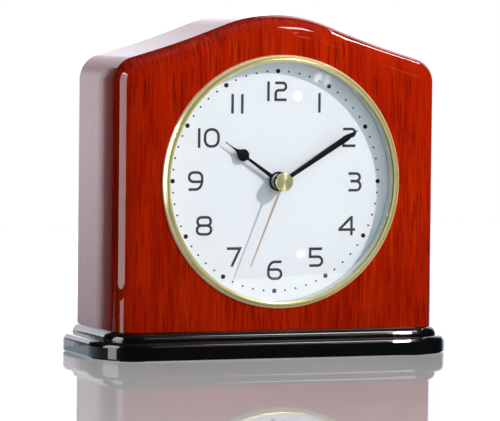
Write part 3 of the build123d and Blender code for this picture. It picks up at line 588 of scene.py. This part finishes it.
def digit_paths(d, w):
    """Centre lines of one digit of outer width w, each (path, closed)."""
    a = w / 2 - STROKE / 2
    if d == "0":
        return [(round_box(-a, a, -T, T, a, 3.3, 2.25), True)]
    if d == "1":
        return [([(0, -4.45), (0, 4.45)], False)]
    if d == "2":
        r = 1.68
        return [([(-a - 0.3, T)] + bend(a - r, T - r, r, r, 90, -90, 18) + bend(-a + 1.5, T - 2 * r - 1.5, 1.5, 1.5, 90, 180, 8)
                 + [(-a, -T), (-a + 0.001, -T), (a + 0.35, -T)], False)]
    if d == "3":
        r, s = 1.72, 2.08
        return [([(-a - 0.35, T)] + bend(a - r - 0.35, T - r, r, r, 90, -90, 18) + [(-a + 0.75, T - 2 * r)], False),
                ([(-a + 0.8, -T + 2 * s)] + bend(a - s, -T + s, s, s, 90, -90, 18) + [(-a - 0.3, -T)], False)]
    if d == "4":
        x, z = 0.29 * w, -1.75
        return [([(x, -4.45), (x, 4.42)], False), ([(x - 0.25, T + 0.05), (-a - 0.1, z + 0.05)], False),
                ([(-a - 0.55, z), (w / 2, z)], False)]
    if d == "5":
        r = 2.02
        return [([(a - 0.05, T), (-a, T), (-a, 0.2), (-a + 0.001, 0.2)] + bend(a - r, 0.2 - r, r, r, 90, -90, 18)
                 + [(-a - 0.35, -T)], False)]
    if d in ("6", "9"):
        r = 2.1
        body = ([(a + 0.15, T)] + bend(-a + 3.1, T - 3.9, 3.1, 3.9, 90, 180, 14)
                + bend(-a + 2.5, -T + 2.3, 2.5, 2.3, 180, 270, 12) + bend(a - r, -T + r, r, r, -90, 90, 18)
                + [(-a + 0.35, -T + 2 * r)])
        if d == "9":
            body = [(-x, -z) for x, z in body]
        return [(body, False)]
    if d == "7":
        return [([(-w / 2, T), (a - 0.15, T), (-0.42 * a, -4.35)], False)]
    if d == "8":
        b = a - 0.22
        return [(round_box(-b, b, 0.12, T, 1.75, 1.72), True), (round_box(-a, a, -T, 0.12, 2.0, 1.9), True)]
    raise ValueError(d)


# numeral: list of (digit, centre x, width), and the numeral's height above the dial's centre
NUMERALS = {
    "12": ([("1", -4.28, 0), ("2", 1.75, 6.2)], 40.8),
    "1": ([("1", 20.7, 0)], 35.6),
    "2": ([("2", 35.6, 6.8)], 19.8),
    "3": ([("3", 38.6, 6.8)], -0.6),
    "4": ([("4", 34.9, 8.3)], -20.7),
    "5": ([("5", 20.0, 7.1)], -34.9),
    "6": ([("6", -0.2, 7.5)], -40.6),
    "7": ([("7", -20.0, 7.1)], -34.3),
    "8": ([("8", -34.7, 8.0)], -20.0),
    "9": ([("9", -39.0, 7.5)], 0.3),
    "10": ([("1", -37.5, 0), ("0", -31.45, 7.7)], 19.7),
    "11": ([("1", -21.6, 0), ("1", -16.9, 0)], 35.1),
}
for label, (digits, zc) in NUMERALS.items():
    parts = []
    for k, (d, xc, w) in enumerate(digits):
        for j, (path, closed) in enumerate(digit_paths(d, w)):
            moved = [(x + xc, z + zc) for x, z in path]
            parts.append(stroke(f"n{label}_{k}_{j}", moved, STROKE, INK_H0, INK_H1 + 0.0006 * j, closed))
    o = joined(f"numeral_{label}", parts, MATS["ink"]) if len(parts) > 1 else parts[0]
    o.name = f"numeral_{label}"
    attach(o, "case")


def dots():
    """Sixty printed dots with softly rounded edges, the twelve hour dots larger."""
    verts, faces = [], []
    for i in range(60):
        ang = math.radians(i * 6 + PHASE)
        cx, cz = 50 * math.sin(ang), 50 * math.cos(ang)
        big = i % 5 == 0
        R, n = (1.06, 32) if big else (0.46, 18)
        k = len(verts)
        rings = ((R, INK_H0), (R, INK_H1 - 0.02), (R - 0.05, INK_H1))
        for rr, h in rings:
            for j in range(n):
                t = 2 * math.pi * j / n
                verts.append(dial_point(cx + rr * math.cos(t), cz + rr * math.sin(t), h))
        for q in range(2):
            for j in range(n):
                faces.append((k + q * n + j, k + q * n + (j + 1) % n, k + (q + 1) * n + (j + 1) % n, k + (q + 1) * n + j))
        faces.append(tuple(k + 2 * n + j for j in range(n)))
        faces.append(tuple(k + j for j in reversed(range(n))))
    return make("minute_dots", verts, faces, MATS["dot_ink"])


print_dots = dots()
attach(print_dots, "case")


# ---------------------------------------------------------------------------
# hands
# ---------------------------------------------------------------------------
def turned(points, deg):
    """Points (across, along, h) of a hand that points to twelve, turned deg clockwise."""
    a = math.radians(deg)
    s, c = math.sin(a), math.cos(a)
    return [dial_point(u * c + v * s, -u * s + v * c, h) for u, v, h in points]


def blade(name, stations, h0, deg, mat):
    """A hand with a raised ridge. stations are (along, half width, edge height, ridge height)."""
    verts, faces = [], []
    for v, w, he, hr in stations:
        verts += turned([(-w, v, h0), (-w, v, he), (0, v, hr), (w, v, he), (w, v, h0)], deg)
    for i in range(len(stations) - 1):
        for j in range(5):
            k, q = i * 5 + j, i * 5 + (j + 1) % 5
            faces.append((k, q, q + 5, k + 5))
    faces.append(tuple(range(4, -1, -1)))
    faces.append(tuple(range(len(verts) - 5, len(verts))))
    return make(name, verts, faces, mat)


def hub(name, profile, deg, mat, n=72):
    """A ring turned about the hand's axis. profile is (radius, h), closed."""
    verts, faces = [], []
    m = len(profile)
    for i in range(n):
        t = 2 * math.pi * i / n
        verts += turned([(r * math.sin(t), r * math.cos(t), h) for r, h in profile], deg)
    for i in range(n):
        for j in range(m):
            a, b = i * m + j, i * m + (j + 1) % m
            c, d = ((i + 1) % n) * m + (j + 1) % m, ((i + 1) % n) * m + j
            faces.append((a, b, c, d))
    return make(name, verts, faces, mat)


def hour_width(v):
    """Half width of the hour hand: thin shaft, disc, then hollow sides to a needle tip."""
    shaft = 0.92 + (0.60 - 0.92) * (v - 3.6) / 14.8
    disc = math.sqrt(max(0.0, 2.8 ** 2 - (v - 21.0) ** 2)) if abs(v - 21.0) < 2.8 else 0.0
    if v < 19:
        return max(shaft, disc)
    tip = 0.17 + 2.35 * math.exp(-((v - 22.1) / 2.05) ** 1.25) if v > 22.1 else 0.0
    return max(disc, tip)


samples = [3.6 + 0.25 * i for i in range(int((31.5 - 3.6) / 0.25) + 1)] + [18.3, 18.45, 18.6, 31.6]
rows = []
for v in sorted(set(samples)):
    w = hour_width(v)
    rise = min(0.16, w * 0.16)
    rows.append((v, max(w, 0.13), 3.4 - rise, 3.4))
hour_blade = blade("hour_blade", rows, 3.0, HOUR_DEG, MATS["black_hand"])
hour_hub = hub("hour_hub", [(2.52, 3.0), (4.5, 3.0), (4.5, 3.28), (4.38, 3.4), (2.64, 3.4), (2.52, 3.3)], HOUR_DEG, MATS["black_hand"])
hour = joined("hour_hand_blade", [hour_hub, hour_blade], MATS["black_hand"])
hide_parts("hour_hand")
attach(hour, "hour")

# bright face of the hour collar, inside the hub's black rim
collar_face = hub("hour_collar_face", [(2.58, 3.40), (3.66, 3.40), (3.66, 3.44), (3.60, 3.47), (2.64, 3.47), (2.58, 3.44)], HOUR_DEG, MATS["collar_face"])
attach(collar_face, "hour")

rows = []
for i in range(41):
    v = 3.4 + (36.6 - 3.4) * i / 40
    w = 0.92 + 0.54 * (v - 3.4) / 33.2
    rows.append((v, w, 7.66, 7.9))
for v, w in ((37.4, 1.40), (38.4, 1.20), (39.4, 0.96), (40.4, 0.72), (41.4, 0.50), (42.4, 0.30), (43.4, 0.12)):
    rows.append((v, w, 7.66 + 0.06 * (v - 36.6) / 6.8, 7.9 - 0.12 * (v - 36.6) / 6.8))
minute_blade = blade("minute_blade", rows, 7.4, MINUTE_DEG, MATS["black_hand"])
minute_hub = hub("minute_hub", [(1.64, 7.4), (4.2, 7.4), (4.2, 7.75), (4.06, 7.9), (1.78, 7.9), (1.64, 7.8)], MINUTE_DEG, MATS["black_hand"])
minute = joined("minute_hand_blade", [minute_hub, minute_blade], MATS["black_hand"])
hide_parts("minute_hand")
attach(minute, "minute")


# ---------------------------------------------------------------------------
# floor
# ---------------------------------------------------------------------------
def floor_material():
    """White gloss acrylic sheet: it mirrors strongly only at a low angle."""
    m = Mat("floor_white")
    n = m.noise(m.mapped((6, 6, 6)), 1.0, 2.0, 0.5)
    diff = m.node("ShaderNodeBsdfDiffuse")
    m.join(m.ramp(n, (0.3, (0.615, 0.61, 0.62)), (0.7, (0.635, 0.63, 0.635))), diff.inputs["Color"])
    gloss = m.node("ShaderNodeBsdfGlossy")
    gloss.inputs["Roughness"].default_value = 0.0
    gloss.inputs["Color"].default_value = (1, 1, 1, 1)
    fres = m.node("ShaderNodeFresnel")
    fres.inputs["IOR"].default_value = 1.10
    mixer = m.node("ShaderNodeMixShader")
    m.join(fres.outputs[0], mixer.inputs[0])
    m.join(diff.outputs[0], mixer.inputs[1])
    m.join(gloss.outputs[0], mixer.inputs[2])
    m.join(mixer.outputs[0], m.out.inputs["Surface"])
    return m.m


floor = make("floor", [(-2.6, -2.2, 0), (2.6, -2.2, 0), (2.6, 0.9, 0), (-2.6, 0.9, 0)], [(0, 1, 2, 3)], floor_material())
for v in floor.data.vertices:
    v.co.z = -0.00002
floor.visible_glossy = False


# ---------------------------------------------------------------------------
# light: white studio, crisp key from the upper right, soft fill, and white boards that the gloss mirrors
# ---------------------------------------------------------------------------
def sky():
    """Dim studio round the clock, paler overhead. What the camera sees directly is white."""
    w = bpy.data.worlds.new("studio")
    bpy.context.scene.world = w
    w.use_nodes = True
    t = w.node_tree
    t.nodes.clear()
    out = t.nodes.new("ShaderNodeOutputWorld")
    bg = t.nodes.new("ShaderNodeBackground")
    co = t.nodes.new("ShaderNodeTexCoord")
    sep = t.nodes.new("ShaderNodeSeparateXYZ")
    t.links.new(co.outputs["Generated"], sep.inputs[0])
    top = t.nodes.new("ShaderNodeMapRange")
    top.interpolation_type = "SMOOTHSTEP"
    t.links.new(sep.outputs["Z"], top.inputs["Value"])
    for k, x in (("From Min", 0.45), ("From Max", 1.0), ("To Min", 0.02), ("To Max", 0.10)):
        top.inputs[k].default_value = x
    t.links.new(top.outputs["Result"], bg.inputs["Strength"])
    bg.inputs["Color"].default_value = (0.97, 0.985, 1.0, 1)
    seen = t.nodes.new("ShaderNodeBackground")
    seen.inputs["Color"].default_value = (1, 1, 1, 1)
    seen.inputs["Strength"].default_value = 1.0
    path = t.nodes.new("ShaderNodeLightPath")
    mixer = t.nodes.new("ShaderNodeMixShader")
    t.links.new(path.outputs["Is Camera Ray"], mixer.inputs[0])
    t.links.new(bg.outputs[0], mixer.inputs[1])
    t.links.new(seen.outputs[0], mixer.inputs[2])
    t.links.new(mixer.outputs[0], out.inputs["Surface"])


sky()
AIM = Vector((0, -0.02, 0.08))


def direction(az, el):
    """Unit vector from the clock: az degrees from the front towards the right, el above the floor."""
    a, e = math.radians(az), math.radians(el)
    return Vector((math.sin(a) * math.cos(e), -math.cos(a) * math.cos(e), math.sin(e)))


def panel(name, where, facing, width, height, radiance, colour, diffuse, glossy):
    """A rectangular light of that radiance at a place, facing along a direction, upright."""
    d = bpy.data.lights.new(name, "AREA")
    d.shape = "RECTANGLE"
    d.size, d.size_y = width, height
    d.energy = radiance * math.pi * width * height
    d.color = colour
    o = bpy.data.objects.new(name, d)
    bpy.context.scene.collection.objects.link(o)
    o.location = where
    o.rotation_euler = (-Vector(facing)).to_track_quat("Z", "Y").to_euler()
    o.visible_camera = False
    o.visible_diffuse = diffuse
    o.visible_glossy = glossy
    o.visible_transmission = glossy
    return o


def box_light(name, az, el, dist, width, height, radiance, colour=(1, 1, 1), diffuse=True, glossy=True):
    v = direction(az, el)
    return panel(name, AIM + v * dist, -v, width, height, radiance, colour, diffuse, glossy)


def fill_light(name, az, el, dist, width, height, level, colour=(1, 1, 1)):
    """A soft light without a mirror image: level is the radiance of a white matt surface that faces it."""
    radiance = level * math.pi * dist * dist / (width * height)
    return box_light(name, az, el, dist, width, height, radiance, colour, glossy=False)


def board(name, x0, x1, y, stops, fade, colour=(1, 1, 1)):
    """An upright white board behind the clock, only for the gloss to mirror. stops are (height, radiance).
    fade is (distance from a rounded outline like the clock's own, share of the radiance)."""
    z0, z1 = stops[0][0], stops[-1][0]
    top = max(v for z, v in stops)
    o = panel(name, ((x0 + x1) / 2, y, (z0 + z1) / 2), (0, -1, 0), x1 - x0, z1 - z0, top, colour, False, True)
    o.data.use_nodes = True
    t = o.data.node_tree
    t.nodes.clear()
    geo = t.nodes.new("ShaderNodeNewGeometry")
    sep = t.nodes.new("ShaderNodeSeparateXYZ")
    ramp = t.nodes.new("ShaderNodeValToRGB")
    emit = t.nodes.new("ShaderNodeEmission")
    out = t.nodes.new("ShaderNodeOutputLight")
    t.links.new(geo.outputs["Position"], sep.inputs[0])
    rng = t.nodes.new("ShaderNodeMapRange")
    rng.inputs["From Min"].default_value = z0
    rng.inputs["From Max"].default_value = z1
    t.links.new(sep.outputs["Z"], rng.inputs["Value"])
    t.links.new(rng.outputs["Result"], ramp.inputs["Fac"])
    els = ramp.color_ramp.elements
    while len(els) > 1:
        els.remove(els[-1])
    for i, (z, v) in enumerate(stops):
        e = els[0] if i == 0 else els.new((z - z0) / (z1 - z0))
        e.position = (z - z0) / (z1 - z0)
        k = v / top
        e.color = (k, k, k, 1)
    t.links.new(ramp.outputs["Color"], emit.inputs["Color"])

    def node(op, *ins, kind="ShaderNodeMath"):
        n = t.nodes.new(kind)
        n.operation = op
        for i, v in enumerate(ins):
            if hasattr(v, "node"):
                t.links.new(v, n.inputs[i])
            else:
                n.inputs[i].default_value = v
        return n
    # distance from a segment between two points of the outline, level with the lower one below it
    (ax, az_), (bx, bz) = (-0.066, 0.130), (0.0, 0.170)
    ll = (bx - ax) ** 2 + (bz - az_) ** 2
    dx = node("SUBTRACT", sep.outputs["X"], ax).outputs[0]
    dz = node("MAXIMUM", node("SUBTRACT", sep.outputs["Z"], az_).outputs[0], 0.0).outputs[0]
    along = node("ADD", node("MULTIPLY", dx, (bx - ax) / ll).outputs[0], node("MULTIPLY", dz, (bz - az_) / ll).outputs[0])
    along.use_clamp = True
    ex = node("SUBTRACT", dx, node("MULTIPLY", along.outputs[0], bx - ax).outputs[0]).outputs[0]
    ez = node("SUBTRACT", dz, node("MULTIPLY", along.outputs[0], bz - az_).outputs[0]).outputs[0]
    gap = node("SQRT", node("ADD", node("MULTIPLY", ex, ex).outputs[0], node("MULTIPLY", ez, ez).outputs[0]).outputs[0])
    far = node("SUBTRACT", gap.outputs[0], node("MULTIPLY", along.outputs[0], 0.05).outputs[0])
    span = t.nodes.new("ShaderNodeMapRange")
    t.links.new(far.outputs[0], span.inputs["Value"])
    span.inputs["From Min"].default_value, span.inputs["From Max"].default_value = fade[0][0], fade[-1][0]
    soft = t.nodes.new("ShaderNodeValToRGB")
    t.links.new(span.outputs["Result"], soft.inputs["Fac"])
    es = soft.color_ramp.elements
    while len(es) > 1:
        es.remove(es[-1])
    for i, (d, k) in enumerate(fade):
        f = (d - fade[0][0]) / (fade[-1][0] - fade[0][0])
        e = es[0] if i == 0 else es.new(f)
        e.position = f
        e.color = (k, k, k, 1)
    # left half only: on the right the board runs on
    left = t.nodes.new("ShaderNodeMapRange")
    t.links.new(sep.outputs["X"], left.inputs["Value"])
    for k, v in (("From Min", 0.30), ("From Max", 0.55), ("To Min", 0.0), ("To Max", 1.0)):
        left.inputs[k].default_value = v
    t.links.new(node("MAXIMUM", soft.outputs["Color"], left.outputs["Result"]).outputs[0], emit.inputs["Strength"])
    t.links.new(emit.outputs[0], out.inputs["Surface"])
    return o


KEY = Vector((0.53, -1.0, 0.6)).normalized()
KEY_DIST, KEY_SIZE = 3.2, 0.020
key_az = math.degrees(math.atan2(KEY.x, -KEY.y))
key_el = math.degrees(math.asin(KEY.z))
box_light("key", key_az, key_el, KEY_DIST, KEY_SIZE, KEY_SIZE,
          0.515 / 0.781 * math.pi * KEY_DIST ** 2 / KEY_SIZE ** 2, (1.0, 0.84, 0.81))
fill_light("fill_front", 12, 18, 1.2, 1.3, 1.0, 0.67, (0.76, 0.96, 1.08))
fill_light("fill_top", 0, 88, 1.1, 1.2, 1.2, 0.14)
fill_light("fill_left", -95, 15, 1.0, 0.8, 0.8, 0.12)
fill_light("fill_right", 95, 15, 1.0, 0.8, 0.8, 0.16)
fill_light("fill_back", 180, 25, 1.2, 1.2, 0.8, 0.40)
BLUISH = (0.90, 0.925, 1.0)
board("board_main", -0.45, 1.6, 0.95, [(-0.088, 1.25), (-0.06, 1.60), (0.0, 2.05), (0.06, 2.4), (0.22, 2.35), (0.30, 1.75), (0.38, 1.26),
                                        (0.46, 1.35), (0.70, 1.9), (1.20, 2.1)],
      [(0.330, 1.0), (0.3335, 0.62), (0.3360, 0.16), (0.342, 0.02), (0.36, 0.0)], BLUISH)
board("board_low", -1.6, 1.6, 0.95, [(-0.50, 0.80), (-0.088, 0.92)],
      [(0.31, 1.0), (0.335, 0.90), (0.45, 0.78), (0.80, 0.66), (1.30, 0.58), (1.60, 0.54)], (0.73, 0.88, 1.0))
# low on the left, fading towards the front: only the base's corner sees it
for i, level in enumerate((0.50, 0.36, 0.24, 0.15, 0.09, 0.05)):
    panel(f"left_low_{i}", (-1.6, 0.85 - 0.2 * i, -0.29), (1, 0, 0), 0.2, 0.32, level, (0.73, 0.88, 1.0), False, True)
panel("floor_card", (0.05, -0.165, -0.05), (0, 0, 1), 0.60, 0.20, 1.0, (1, 1, 1), False, True)
panel("left_strip", (-0.74, -0.135, 0.25), (1, 0.12, 0), 0.50, 0.54, 7.5, (1, 1, 1), False, True)
panel("left_strip_foot", (-0.74, -0.190, -0.078), (1, 0.12, 0), 0.26, 0.10, 6.0, (1, 1, 1), False, True)
panel("left_strip_end", (-0.74, -0.120, 0.525), (1, 0.12, 0), 0.42, 0.09, 16.0, (1, 1, 1), False, True).data.shape = "ELLIPSE"
panel("overhead", (0.30, 0.0, 1.1), (0, 0, -1), 0.9, 0.5, 0.18, (1, 1, 0.98), False, True)
box_light("right_box", 40, 48, 1.5, 0.30, 0.20, 24.0, (1.0, 0.96, 0.92), diffuse=False)
strip = panel("high_strip", (0.938, 0.15, 1.16), (0, 0, -1), 0.022, 0.62, 26.0, (1.0, 0.97, 0.94), False, True)
strip.rotation_euler = (0, 0, 0.031)
for name, a, e, w, h, level in (("glass_spot_high", 24.4, 13.0, 0.050, 0.050, 3.0), ("glass_spot_low", 25.6, -15.8, 0.045, 0.045, 1.6),
                                ("glass_patch_a", 29.2, 15.8, 0.045, 0.030, 4.0), ("glass_patch_b", 31.0, 15.1, 0.030, 0.040, 3.0)):
    box_light(name, a, e, 1.6, w, h, level, diffuse=False).data.shape = "ELLIPSE"


# ---------------------------------------------------------------------------
# camera
# ---------------------------------------------------------------------------
az, el, roll = math.radians(-20.97), math.radians(3.20), math.radians(0.66)
back = Vector((math.sin(az) * math.cos(el), -math.cos(az) * math.cos(el), math.sin(el)))
right = Vector((math.cos(az), math.sin(az), 0))
up = back.cross(right)
r2 = math.cos(roll) * right + math.sin(roll) * up
u2 = -math.sin(roll) * right + math.cos(roll) * up
cam_data = bpy.data.cameras.new("camera")
cam = bpy.data.objects.new("camera", cam_data)
bpy.context.scene.collection.objects.link(cam)
place = CENTRE + 0.05 * (back * 33.94 + r2 * -0.238 + u2 * -0.267)
rot = Matrix((r2, u2, back)).transposed().to_4x4()
cam.matrix_world = Matrix.Translation(place) @ rot
cam_data.sensor_width = 36.0
cam_data.lens = 3735.0 * 36.0 / 500.0
cam_data.clip_start, cam_data.clip_end = 0.1, 50.0
bpy.context.scene.camera = cam
bpy.context.scene.view_settings.view_transform = "Standard"
